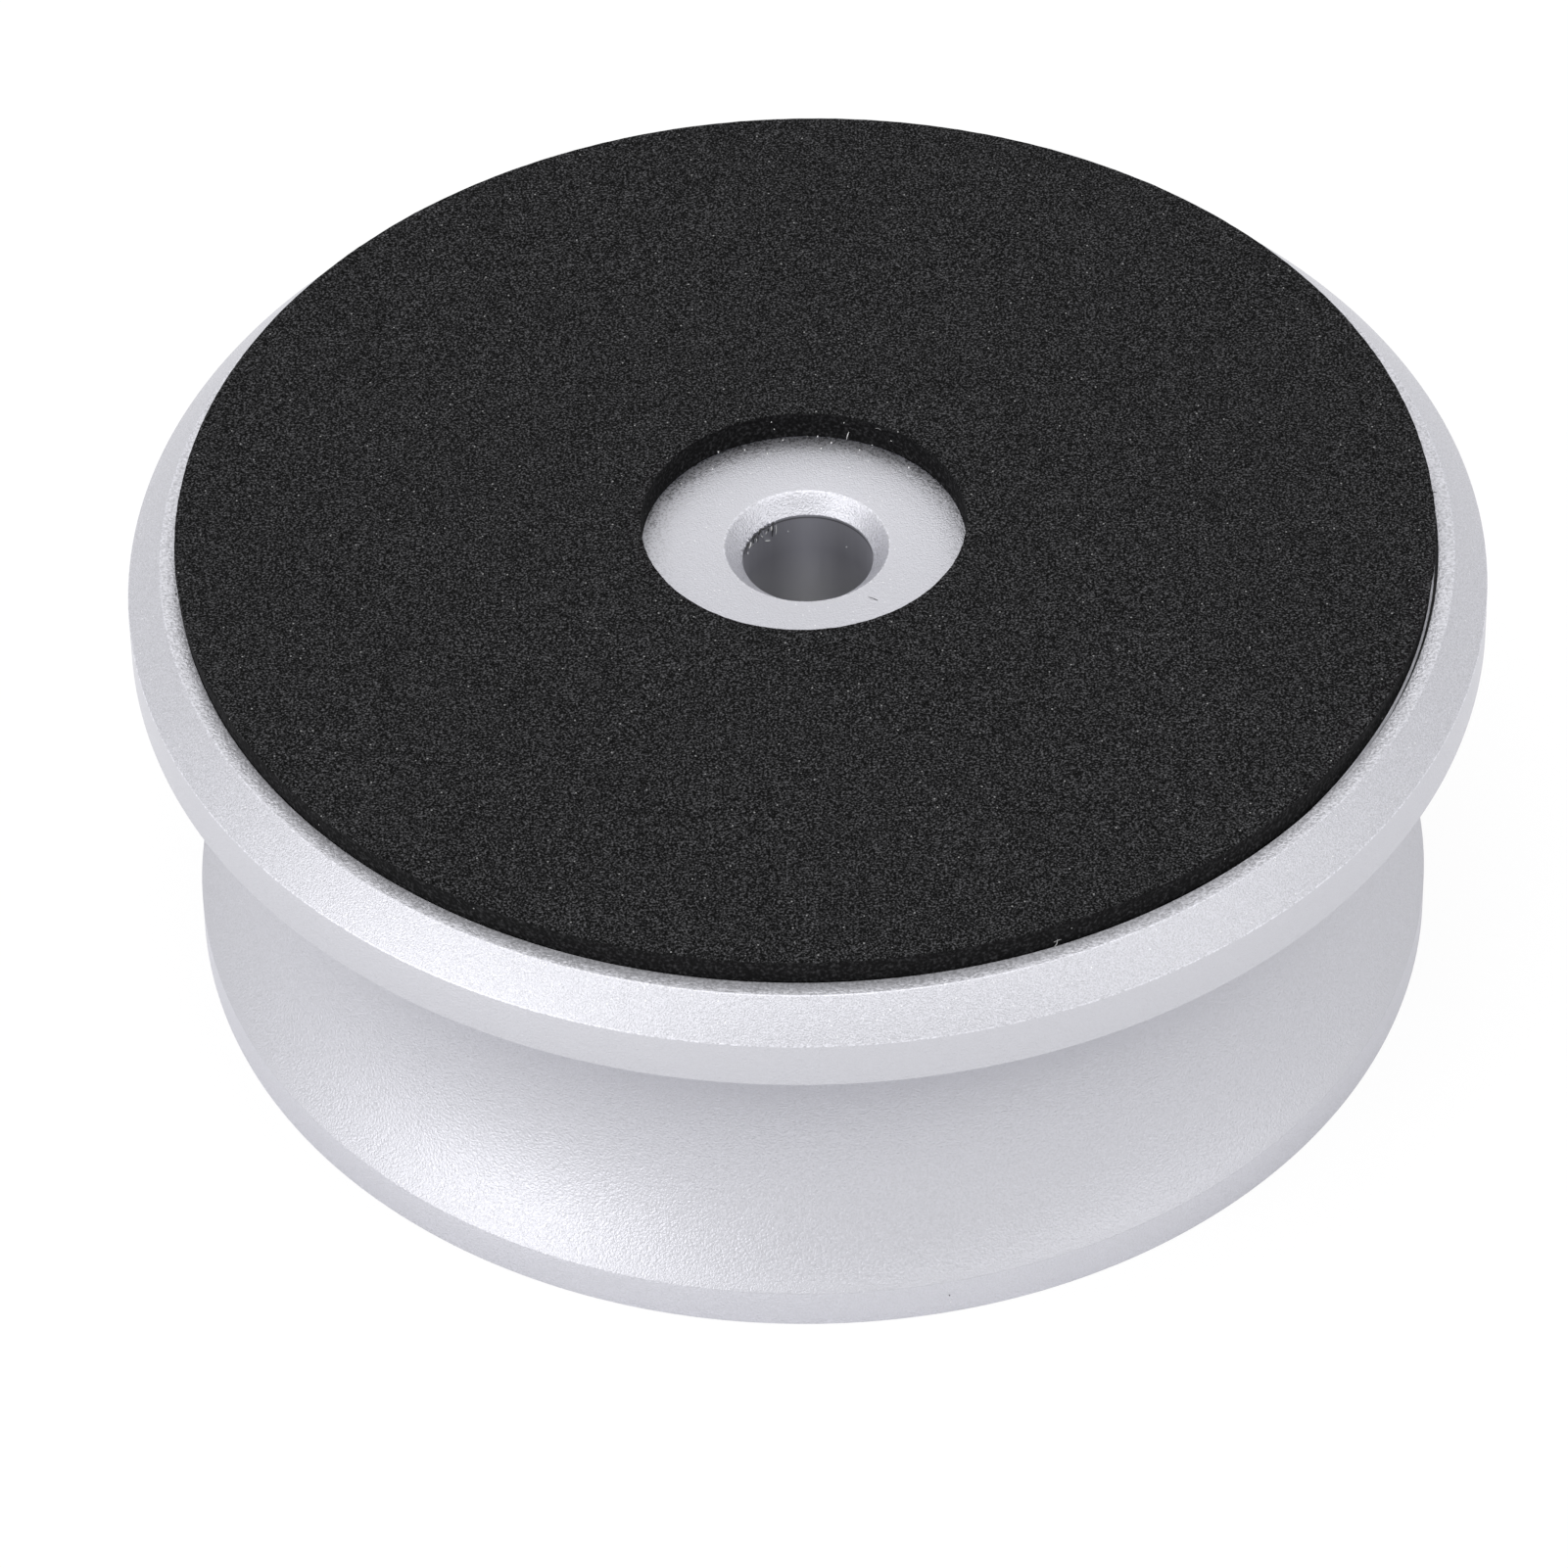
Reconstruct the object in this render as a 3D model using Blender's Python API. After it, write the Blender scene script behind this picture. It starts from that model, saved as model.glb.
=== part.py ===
"""Record weight: a turned aluminium body with a foam contact pad stuck in its end face.

Units are metres and +Z is up. The weight lies with its pad upwards. The origin is on the
turning axis, in the plane of the flat face that it stands on. In use it is turned over:
the pad lies on the record's label, and the turntable's spindle stands in the bore.
"""

import math

import bmesh
import bpy

# Body: one solid bar, turned
FLANGE_DIAMETER = 0.0760
LOWER_FLANGE_DIAMETER = 0.0703
BODY_HEIGHT = 0.0265
CHAMFER_WIDTH = 0.0020
CHAMFER_DROP = 0.00195
UPPER_BAND_HEIGHT = 0.0029
LOWER_BAND_HEIGHT = 0.00245
WAIST_DEPTH = 0.0045
EDGE_RADIUS = 0.00015
BASE_EDGE_RADIUS = 0.0003

# Pocket for the pad, in the upper end face
RIM_WIDTH = 0.0008
POCKET_DEPTH = 0.00035

# Spindle bore, drilled blind from the pocket's floor
BORE_DIAMETER = 0.0073
BORE_DEPTH = 0.0200
DRILL_POINT_ANGLE = math.radians(118)
COUNTERSINK_WIDTH = 0.00095
COUNTERSINK_DEPTH = 0.00105

# Foam pad and the double-sided adhesive film that holds it, cut out together
PAD_THICKNESS = 0.00155
PAD_HOLE_DIAMETER = 0.0182
PAD_SIDE_CLEARANCE = 0.0003
PAD_EDGE_RADIUS = 0.00012
FILM_THICKNESS = 0.0001
GLUE_LINE = 0.0001

# Steps round the axis, along the waist's arc and round a broken edge
TURN_STEPS = 96
WAIST_STEPS = 16
EDGE_STEPS = 2

FLANGE_RADIUS = FLANGE_DIAMETER / 2
LOWER_FLANGE_RADIUS = LOWER_FLANGE_DIAMETER / 2
BORE_RADIUS = BORE_DIAMETER / 2
PAD_HOLE_RADIUS = PAD_HOLE_DIAMETER / 2
FACE_RADIUS = FLANGE_RADIUS - CHAMFER_WIDTH
POCKET_RADIUS = FACE_RADIUS - RIM_WIDTH
PAD_RADIUS = POCKET_RADIUS - PAD_SIDE_CLEARANCE
POCKET_FLOOR = BODY_HEIGHT - POCKET_DEPTH
FILM_SEAT = POCKET_FLOOR + GLUE_LINE
PAD_SEAT = FILM_SEAT + FILM_THICKNESS + GLUE_LINE

ALUMINIUM_COLOUR = (0.62, 0.62, 0.66, 1.0)
FOAM_COLOUR = (0.022, 0.022, 0.024, 1.0)
FILM_COLOUR = (0.42, 0.42, 0.43, 1.0)


def clear_scene():
    """Removes every object that the file opened with."""
    for obj in list(bpy.data.objects):
        bpy.data.objects.remove(obj, do_unlink=True)


def make_material(name, colour, roughness, metallic):
    """Returns a Principled material of one colour."""
    material = bpy.data.materials.new(name)
    material.use_nodes = True
    shader = material.node_tree.nodes["Principled BSDF"]
    shader.inputs["Base Color"].default_value = colour
    shader.inputs["Roughness"].default_value = roughness
    shader.inputs["Metallic"].default_value = metallic
    material.diffuse_color = colour
    return material


def unit(from_point, to_point):
    """Returns the direction from one (radius, height) point to another."""
    run, rise = to_point[0] - from_point[0], to_point[1] - from_point[1]
    length = math.hypot(run, rise)
    return run / length, rise / length


def broken_corner(before, corner, after, radius):
    """Returns the points of an arc of the given radius in place of a sharp corner."""
    back, ahead = unit(corner, before), unit(corner, after)
    opening = math.acos(back[0] * ahead[0] + back[1] * ahead[1])
    reach = radius / math.tan(opening / 2)
    middle = unit((0, 0), (back[0] + ahead[0], back[1] + ahead[1]))
    to_centre = radius / math.sin(opening / 2)
    centre = (corner[0] + middle[0] * to_centre, corner[1] + middle[1] * to_centre)
    first = (corner[0] + back[0] * reach, corner[1] + back[1] * reach)
    start = math.atan2(first[1] - centre[1], first[0] - centre[0])
    turn = math.pi - opening
    if back[0] * ahead[1] - back[1] * ahead[0] > 0:
        turn = -turn
    angles = [start + turn * step / EDGE_STEPS for step in range(EDGE_STEPS + 1)]
    return [
        (centre[0] + radius * math.cos(a), centre[1] + radius * math.sin(a))
        for a in angles
    ]


def outline(corners, closed=False):
    """Returns the (radius, height) points of a section, with its corners' arcs worked out.

    A corner is (radius, height) or (radius, height, radius of its broken edge).
    """
    points = []
    for index, corner in enumerate(corners):
        place = corner[:2]
        at_end = not closed and index in (0, len(corners) - 1)
        if len(corner) == 2 or at_end:
            points.append(place)
            continue
        before = corners[index - 1][:2]
        after = corners[(index + 1) % len(corners)][:2]
        points += broken_corner(before, place, after, corner[2])
    return points


def hollow_arc(upper, lower, depth):
    """Returns the points between two edges of an arc hollowed to a depth below their chord."""
    half_chord = math.dist(upper, lower) / 2
    radius = (half_chord**2 + depth**2) / (2 * depth)
    along = unit(upper, lower)
    outward = (-along[1], along[0])
    middle = ((upper[0] + lower[0]) / 2, (upper[1] + lower[1]) / 2)
    centre = (
        middle[0] + outward[0] * (radius - depth),
        middle[1] + outward[1] * (radius - depth),
    )
    half_angle = math.asin(half_chord / radius)
    points = []
    for step in range(1, WAIST_STEPS):
        angle = half_angle * (2 * step / WAIST_STEPS - 1)
        across, down = radius * math.cos(angle), radius * math.sin(angle)
        points.append(
            (
                centre[0] - outward[0] * across + along[0] * down,
                centre[1] - outward[1] * across + along[1] * down,
            )
        )
    return points


def body_outline():
    """Returns the body's section, from the drill point round to the middle of the base."""
    bore_bottom = POCKET_FLOOR - BORE_DEPTH
    drill_tip = bore_bottom - BORE_RADIUS / math.tan(DRILL_POINT_ANGLE / 2)
    chamfer_foot = BODY_HEIGHT - CHAMFER_DROP
    waist_top = (FLANGE_RADIUS, chamfer_foot - UPPER_BAND_HEIGHT)
    waist_foot = (LOWER_FLANGE_RADIUS, LOWER_BAND_HEIGHT)
    return outline(
        [
            (0, drill_tip),
            (BORE_RADIUS, bore_bottom),
            (BORE_RADIUS, POCKET_FLOOR - COUNTERSINK_DEPTH),
            (BORE_RADIUS + COUNTERSINK_WIDTH, POCKET_FLOOR),
            (POCKET_RADIUS, POCKET_FLOOR),
            (POCKET_RADIUS, BODY_HEIGHT),
            (FACE_RADIUS, BODY_HEIGHT, EDGE_RADIUS),
            (FLANGE_RADIUS, chamfer_foot, EDGE_RADIUS),
            (*waist_top, EDGE_RADIUS),
            *hollow_arc(waist_top, waist_foot, WAIST_DEPTH),
            (*waist_foot, EDGE_RADIUS),
            (LOWER_FLANGE_RADIUS, 0, BASE_EDGE_RADIUS),
            (0, 0),
        ]
    )


def ring_outline(thickness, top_edge_radius=None):
    """Returns the section of a flat ring as wide as the pad, standing on height 0."""
    top = (thickness,) if top_edge_radius is None else (thickness, top_edge_radius)
    return outline(
        [
            (PAD_HOLE_RADIUS, 0),
            (PAD_RADIUS, 0),
            (PAD_RADIUS, *top),
            (PAD_HOLE_RADIUS, *top),
        ],
        closed=True,
    )


def turn(name, section, closed, material, parent=None, height=0.0):
    """Makes an object by spinning a section round the Z axis.

    An open section starts and ends on the axis, and a closed one makes a ring.
    """
    mesh = bpy.data.meshes.new(name)
    shape = bmesh.new()
    verts = [shape.verts.new((radius, 0, z)) for radius, z in section]
    edges = [shape.edges.new(pair) for pair in zip(verts, verts[1:])]
    if closed:
        edges.append(shape.edges.new((verts[-1], verts[0])))
    bmesh.ops.spin(
        shape,
        geom=verts + edges,
        cent=(0, 0, 0),
        axis=(0, 0, 1),
        angle=math.tau,
        steps=TURN_STEPS,
        use_merge=True,
    )
    bmesh.ops.remove_doubles(shape, verts=shape.verts, dist=1e-7)
    bmesh.ops.recalc_face_normals(shape, faces=shape.faces)
    shape.to_mesh(mesh)
    shape.free()
    mesh.materials.append(material)
    mesh.shade_smooth()
    mesh.set_sharp_from_angle(angle=math.radians(25))
    obj = bpy.data.objects.new(name, mesh)
    bpy.context.scene.collection.objects.link(obj)
    obj.parent = parent
    obj.location.z = height
    return obj


def main():
    """Builds the body, and the film and the pad on the pocket's floor."""
    clear_scene()
    aluminium = make_material("anodised_aluminium", ALUMINIUM_COLOUR, 0.42, 1.0)
    foam = make_material("foam", FOAM_COLOUR, 0.9, 0.0)
    film = make_material("adhesive", FILM_COLOUR, 0.45, 0.0)
    body = turn("weight_body", body_outline(), False, aluminium)
    turn("adhesive_film", ring_outline(FILM_THICKNESS), True, film, body, FILM_SEAT)
    turn(
        "foam_pad",
        ring_outline(PAD_THICKNESS, PAD_EDGE_RADIUS),
        True,
        foam,
        body,
        PAD_SEAT,
    )


main()
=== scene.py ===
"""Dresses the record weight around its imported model.

The weight lies with its foam pad upwards. One class makes the turned body, one the adhesive
film, one the foam pad and one the lint that lies on them. Lengths in the classes are in
millimetres, heights are above the face that the weight stands on, and a bearing is in degrees
from the front, positive towards the right. Meshes are scaled to metres as they are finished.
"""

from __future__ import annotations

import logging
import math
from collections.abc import Iterable
from dataclasses import dataclass
from enum import Enum
from typing import Any

import bmesh
import bpy
from mathutils import Matrix, Vector, noise


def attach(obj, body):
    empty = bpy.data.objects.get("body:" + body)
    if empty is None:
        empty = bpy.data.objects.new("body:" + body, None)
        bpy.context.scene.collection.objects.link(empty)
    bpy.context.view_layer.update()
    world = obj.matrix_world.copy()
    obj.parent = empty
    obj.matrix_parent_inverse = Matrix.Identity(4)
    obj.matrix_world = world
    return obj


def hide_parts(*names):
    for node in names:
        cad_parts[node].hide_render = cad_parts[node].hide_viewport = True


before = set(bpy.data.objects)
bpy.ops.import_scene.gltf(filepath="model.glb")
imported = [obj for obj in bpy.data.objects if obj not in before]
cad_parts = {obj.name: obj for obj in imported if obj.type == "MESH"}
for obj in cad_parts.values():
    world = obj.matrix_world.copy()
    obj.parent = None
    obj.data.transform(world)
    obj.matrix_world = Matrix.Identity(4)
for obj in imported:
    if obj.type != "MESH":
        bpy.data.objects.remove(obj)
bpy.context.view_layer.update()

MM = 0.001

# The range that nearly all values of a noise texture lie in
NOISE_RANGE = (0.3, 0.7)

log = logging.getLogger("record_weight")


class Slot(Enum):
    """The record's material slots."""

    ALUMINIUM = "anodised_aluminium"
    FILM = "adhesive"
    FOAM = "foam"


class Zone(Enum):
    """Areas of the turned body that were finished in different ways or carry painted light, in
    slot order.
    """

    BLASTED = 0
    BORE = 1
    RIM = 2
    SINK = 3
    EDGE = 4
    DISC = 5
    WAIST = 6
    CHAMFER = 7
    FOOT = 8


class Tone(Enum):
    """Tones of lint, dust and burr, and of the painted shade in the burr's notches, each with
    its material's name and grey.
    """

    PALE = ("pale_lint", 0.30)
    WHITE = ("white_lint", 0.85)
    DARK = ("dark_lint_and_notch_shade", 0.04)
    CHIP = ("burr_chip", 0.70)


# Placing and finishing meshes


def around(radius: float, bearing: float, height: float) -> Vector:
    """Returns the place at a radius, a bearing from the front in degrees and a height."""
    angle = math.radians(bearing)
    return Vector((radius * math.sin(angle), -radius * math.cos(angle), height))


def bearing_of(place: Vector) -> float:
    """Returns a place's bearing from the front in degrees, between -180 and 180."""
    return math.degrees(math.atan2(place.x, -place.y))


def ramp(value: float, start: float, end: float) -> float:
    """Returns 0 before start and 1 after end, with a smooth rise between them."""
    share = min(1.0, max(0.0, (value - start) / (end - start)))
    return share * share * (3 - 2 * share)


def window(value: float, low: float, high: float, soft: float) -> float:
    """Returns 1 between low and high, falling smoothly to 0 over soft on either side."""
    return ramp(value, low - soft, low) * (1 - ramp(value, high, high + soft))


def round_corners(
    shape: bmesh.types.BMesh, corners: list[bmesh.types.BMVert], offset: float, segments: int
) -> None:
    """Rounds corners of a section.

    Args:
        shape: The mesh that holds the section.
        corners: The vertices to round.
        offset: How far the rounding reaches, in millimetres.
        segments: How many steps it has.
    """
    bmesh.ops.bevel(
        shape,
        geom=corners,
        offset=offset,
        offset_type="OFFSET",
        affect="VERTICES",
        segments=segments,
        profile=0.5,
        material=-1,
    )


def spin_section(shape: bmesh.types.BMesh, steps: int, closed_on_axis: bool) -> None:
    """Turns a section of vertices and edges in the XZ plane into a solid round the Z axis.

    Args:
        shape: The mesh that holds the section and nothing else.
        steps: How many steps the full turn has.
        closed_on_axis: Whether the section starts and ends on the axis.
    """
    bmesh.ops.spin(
        shape,
        geom=shape.verts[:] + shape.edges[:],
        cent=(0, 0, 0),
        axis=(0, 0, 1),
        dvec=(0, 0, 0),
        angle=math.tau,
        steps=steps,
        use_merge=True,
    )
    if closed_on_axis:
        poles = [v for v in shape.verts if math.hypot(v.co.x, v.co.y) < 1e-4]
        bmesh.ops.remove_doubles(shape, verts=poles, dist=1e-3)
    bmesh.ops.recalc_face_normals(shape, faces=shape.faces[:])


def finish_mesh(
    shape: bmesh.types.BMesh,
    name: str,
    materials: Iterable[bpy.types.Material],
    sharp_above: float = 30.0,
) -> bpy.types.Object:
    """Makes an object of a mesh in millimetres, and frees the mesh.

    Args:
        shape: The finished mesh.
        name: The object's name.
        materials: The materials, in the order of their slots.
        sharp_above: The angle in degrees above which an edge is shaded sharp.

    Returns:
        The object, in metres, at the origin.
    """
    bmesh.ops.scale(shape, vec=(MM, MM, MM), verts=shape.verts[:])
    mesh = bpy.data.meshes.new(name)
    shape.to_mesh(mesh)
    shape.free()
    for material in materials:
        mesh.materials.append(material)
    mesh.shade_smooth()
    mesh.set_sharp_from_angle(angle=math.radians(sharp_above))
    obj = bpy.data.objects.new(name, mesh)
    bpy.context.scene.collection.objects.link(obj)
    return obj


def settle(piece: bpy.types.Object, slot: Slot, *nodes: str) -> bpy.types.Object:
    """Rides a piece on the weight, and lets it stand for plain nodes.

    Args:
        piece: The finished piece.
        slot: Its material slot; not used.
        nodes: The plain nodes that it stands for.

    Returns:
        The piece.
    """
    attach(piece, "root")
    if nodes:
        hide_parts(*nodes)
    return piece


# Shader nodes


class Wiring:
    """Adds nodes to one tree and joins them."""

    def __init__(self, tree: bpy.types.NodeTree) -> None:
        """Keeps the tree that the nodes go into."""
        self.tree = tree

    def add(self, kind: str, inputs: dict[Any, Any] | None = None, **settings: Any) -> Any:
        """Adds one node.

        Args:
            kind: The node's type, without its ShaderNode prefix.
            inputs: A value, or the output socket to join, for each input socket.
            settings: The node's own properties.

        Returns:
            The node.
        """
        node = self.tree.nodes.new("ShaderNode" + kind)
        for key, value in settings.items():
            setattr(node, key, value)
        for key, value in (inputs or {}).items():
            if isinstance(value, bpy.types.NodeSocket):
                self.tree.links.new(value, node.inputs[key])
            else:
                node.inputs[key].default_value = value
        return node

    def math(self, operation: str, first: Any, second: Any = 0.0, third: Any = 0.0) -> Any:
        """Returns the output of a math node."""
        inputs = {0: first, 1: second, 2: third}
        return self.add("Math", inputs, operation=operation).outputs[0]

    def blend(self, share: Any, first: Any, second: Any) -> Any:
        """Returns the colour that is first where share is 0 and second where it is 1."""
        node = self.add(
            "Mix", {0: share, 6: first, 7: second}, data_type="RGBA", clamp_factor=True
        )
        return node.outputs[2]

    def spread(self, value: Any, low: float, high: float, to_low: float, to_high: float) -> Any:
        """Returns a value moved from one range to another, and kept inside it."""
        inputs = {"Value": value, 1: low, 2: high, 3: to_low, 4: to_high}
        return self.add("MapRange", inputs, clamp=True).outputs[0]

    def group(self, group: bpy.types.NodeTree, **inputs: float) -> Any:
        """Returns the node of a shared group, with its inputs set by name."""
        return self.add("Group", inputs, node_tree=group)

    def mask(self, group: bpy.types.NodeTree, **inputs: float) -> Any:
        """Returns the mask of a shared group."""
        return self.group(group, **inputs).outputs["Mask"]

    def feed(self, value: Any, node: Any, socket: str) -> None:
        """Joins an output to an input of a node."""
        self.tree.links.new(value, node.inputs[socket])

    def bump(self, shader: Any, height: Any, depth: float) -> None:
        """Bumps a shader's surface by a height, at a depth in millimetres."""
        inputs = {"Height": height, "Distance": depth * MM, "Strength": 1.0}
        self.feed(self.add("Bump", inputs).outputs[0], shader, "Normal")


def new_group(
    name: str, inputs: dict[str, float], outputs: Iterable[str]
) -> tuple[Wiring, Any, Any]:
    """Starts a shader group with float sockets.

    Args:
        name: The group's name.
        inputs: Each input and its default.
        outputs: The outputs' names.

    Returns:
        The wiring of its tree, its input node and its output node.
    """
    tree = bpy.data.node_groups.new(name, "ShaderNodeTree")
    for label, value in inputs.items():
        socket = tree.interface.new_socket(label, in_out="INPUT", socket_type="NodeSocketFloat")
        socket.default_value = value
    for label in outputs:
        tree.interface.new_socket(label, in_out="OUTPUT", socket_type="NodeSocketFloat")
    entry = tree.nodes.new("NodeGroupInput")
    leave = tree.nodes.new("NodeGroupOutput")
    return Wiring(tree), entry, leave


def object_place(wires: Wiring) -> Any:
    """Returns the object coordinates."""
    return wires.add("TexCoord").outputs["Object"]


def grain_group() -> bpy.types.NodeTree:
    """Makes the fine grain that blasted metal and foam share.

    Size is the grain's size in millimetres. Fine is an even grain from 0 to 1, and Coarse
    is one that is about three times as large.

    Returns:
        The group.
    """
    wires, entry, leave = new_group("fine_grain", {"Size": 0.1}, ("Fine", "Coarse"))
    place = object_place(wires)
    scale = wires.math("DIVIDE", 1 / MM, entry.outputs["Size"])
    fine = {"Vector": place, "Scale": scale, "Detail": 1.0, "Roughness": 0.6}
    wires.feed(wires.add("TexNoise", fine).outputs[0], leave, "Fine")
    wide = wires.math("MULTIPLY", scale, 0.3)
    coarse = {"Vector": place, "Scale": wide, "Detail": 2.0}
    wires.feed(wires.add("TexNoise", coarse).outputs[0], leave, "Coarse")
    return wires.tree


def speck_group() -> bpy.types.NodeTree:
    """Makes scattered specks, as of dust or bright cells.

    Spacing is the mean distance between the places where a speck may lie, in millimetres,
    Share says how many of them have one, and Radius is a speck's share of the spacing.

    Returns:
        The group.
    """
    wires, entry, leave = new_group(
        "specks", {"Spacing": 1.0, "Share": 0.5, "Radius": 0.1}, ("Mask",)
    )
    scale = wires.math("DIVIDE", 1 / MM, entry.outputs["Spacing"])
    cells = wires.add(
        "TexVoronoi", {"Vector": object_place(wires), "Scale": scale, "Randomness": 1.0}
    )
    near = wires.math("LESS_THAN", cells.outputs["Distance"], entry.outputs["Radius"])
    picked = wires.add("SeparateColor", {0: cells.outputs["Color"]}).outputs[0]
    kept = wires.math("LESS_THAN", picked, entry.outputs["Share"])
    wires.feed(wires.math("MULTIPLY", near, kept), leave, "Mask")
    return wires.tree


def band_group() -> bpy.types.NodeTree:
    """Makes a ring mask: 1 inside a range of radius and height, in millimetres.

    Returns:
        The group.
    """
    wires, entry, leave = new_group(
        "ring_band",
        {"Inner": 0.0, "Outer": 50.0, "Low": -10.0, "High": 50.0, "Soft": 0.1},
        ("Mask",),
    )
    parts = wires.add("SeparateXYZ", {0: object_place(wires)})
    flat = wires.add("CombineXYZ", {0: parts.outputs[0], 1: parts.outputs[1], 2: 0.0})
    length = wires.add("VectorMath", {0: flat.outputs[0]}, operation="LENGTH").outputs["Value"]
    radius = wires.math("MULTIPLY", length, 1 / MM)
    height = wires.math("MULTIPLY", parts.outputs[2], 1 / MM)
    soft = entry.outputs["Soft"]
    edges = []
    for value, low, high in (
        (radius, entry.outputs["Inner"], entry.outputs["Outer"]),
        (height, entry.outputs["Low"], entry.outputs["High"]),
    ):
        for first, second in ((value, low), (high, value)):
            past = wires.math("DIVIDE", wires.math("SUBTRACT", first, second), soft)
            edges.append(wires.add("Clamp", {0: wires.math("ADD", past, 0.5)}).outputs[0])
    mask = edges[0]
    for edge in edges[1:]:
        mask = wires.math("MULTIPLY", mask, edge)
    wires.feed(mask, leave, "Mask")
    return wires.tree


@dataclass(frozen=True)
class Groups:
    """The shader groups that the finishes share."""

    grain: bpy.types.NodeTree
    specks: bpy.types.NodeTree
    band: bpy.types.NodeTree

    @staticmethod
    def build() -> Groups:
        """Makes each group once."""
        return Groups(grain_group(), speck_group(), band_group())


def new_material(name: str) -> tuple[bpy.types.Material, Wiring, Any]:
    """Starts a material.

    Args:
        name: The material's name.

    Returns:
        The material, the wiring of its tree and its Principled shader.
    """
    material = bpy.data.materials.new(name)
    material.use_nodes = True
    tree = material.node_tree
    return material, Wiring(tree), tree.nodes["Principled BSDF"]


def shade(value: float, tint: tuple[float, float, float] = (1.0, 1.0, 1.0)) -> tuple:
    """Returns a tinted grey as a colour with an alpha of 1."""
    return (value * tint[0], value * tint[1], value * tint[2], 1.0)


# Rings of the body where marks, painted light and painted shade lie, by radius and height in
# millimetres
# Painted shade, speckled, on the disc by the hole's edge
HOLE_EDGE = {"Inner": 8.5, "Outer": 12.0, "Low": 25.0, "High": 28.0, "Soft": 2.1}
# Painted shade in the corner at the pocket's wall
POCKET_WALL = {"Inner": 34.9, "Outer": 35.3, "Low": 25.9, "High": 26.42, "Soft": 0.05}
# Painted light on the rim beside the pad
PAINTED_LIGHT_RING = {"Inner": 30.0, "Outer": 35.6, "Soft": 0.7}
BORE_LIP = {"Low": 24.86, "High": 24.96, "Soft": 0.06}
# Painted light: the depths where the bore's wall is paler
BORE_DEPTHS = {"Low": 16.5, "High": 20.5, "Soft": 4.0}
# Painted reflection: the heights where the streak is less metallic
BORE_UPPER = {"Low": 14.0, "High": 22.5, "Soft": 4.0}


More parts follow.
